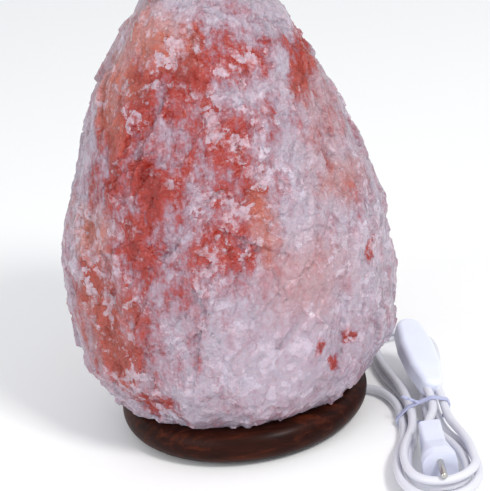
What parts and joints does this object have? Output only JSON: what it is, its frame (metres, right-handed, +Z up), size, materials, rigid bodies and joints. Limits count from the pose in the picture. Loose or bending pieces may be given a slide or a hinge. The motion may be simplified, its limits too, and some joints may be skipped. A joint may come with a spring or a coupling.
{
  "type": "salt crystal lamp",
  "caption": "Table lamp of a rough block of rock salt on a turned wooden base, lit from within, with a mains lead, in-line switch and two-pin plug.",
  "frame": {"origin": "on the axis of the turned base, on the surface that it stands on", "axes": "+Z up, -Y towards the viewer, +X the side on which the mains lead leaves the base"},
  "size_m": [0.2824, 0.2987, 0.344],
  "materials": {
    "salt": "rough",
    "wood": "gloss lacquer",
    "felt": "felt",
    "white_plastic": "smooth",
    "zinc_steel": "zinc plated",
    "brass": "bare",
    "nickel": "nickel plated",
    "black_plastic": "moulded",
    "holder_plastic": "moulded",
    "porcelain": "unglazed",
    "clear_glass": "clear",
    "insulator_glass": "black",
    "tungsten": "drawn wire",
    "tie_plastic": "smooth"
  },
  "bodies": {
    "stand": {"wood_base": "wood", "base_pads": "felt", "holder_plate": "zinc_steel", "plate_screws": "zinc_steel", "threaded_tube": "zinc_steel", "lock_nut": "zinc_steel", "holder_cap": "holder_plastic", "holder_insert": "porcelain", "terminal_screws": "brass", "holder_thread": "nickel", "centre_contact": "brass", "holder_skirt": "holder_plastic", "lead_inside": "white_plastic", "cord_free": "white_plastic", "cord_hank": "white_plastic", "cord_to_switch": "white_plastic", "cord_tail": "white_plastic", "twist_tie": "tie_plastic", "switch_upper_shell": "white_plastic", "switch_lower_shell": "white_plastic", "rocker_pin": "zinc_steel", "switch_screws": "zinc_steel", "switch_contacts": "brass", "plug_body": "white_plastic", "plug_pins": "nickel", "clamp_block": "black_plastic", "clamp_strap": "zinc_steel", "clamp_screws": "zinc_steel"},
    "crystal": {"salt_crystal": "salt"},
    "bulb": {"bulb_contact": "brass", "bulb_insulator": "insulator_glass", "bulb_cap": "nickel", "bulb_glass": "clear_glass", "bulb_stem": "clear_glass", "bulb_filament": "tungsten"},
    "rocker": {"switch_rocker": "holder_plastic"}
  },
  "joints": [
    {"name": "crystal_lift", "type": "slide", "parent": "stand", "child": "crystal", "axis": [0, 0, 1], "range_m": [0, 0.17]},
    {"name": "bulb_turn", "type": "hinge", "parent": "stand", "child": "bulb", "pos_m": [0, 0, 0.06], "axis": [0, 0, 1], "range_deg": [0, 720]},
    {"name": "rocker_tip", "type": "hinge", "parent": "stand", "child": "rocker", "pos_m": [0.13511, 0.00107, 0.02561], "axis": [0.9608, 0.1827, -0.2084], "range_deg": [-14, 0]}
  ]
}
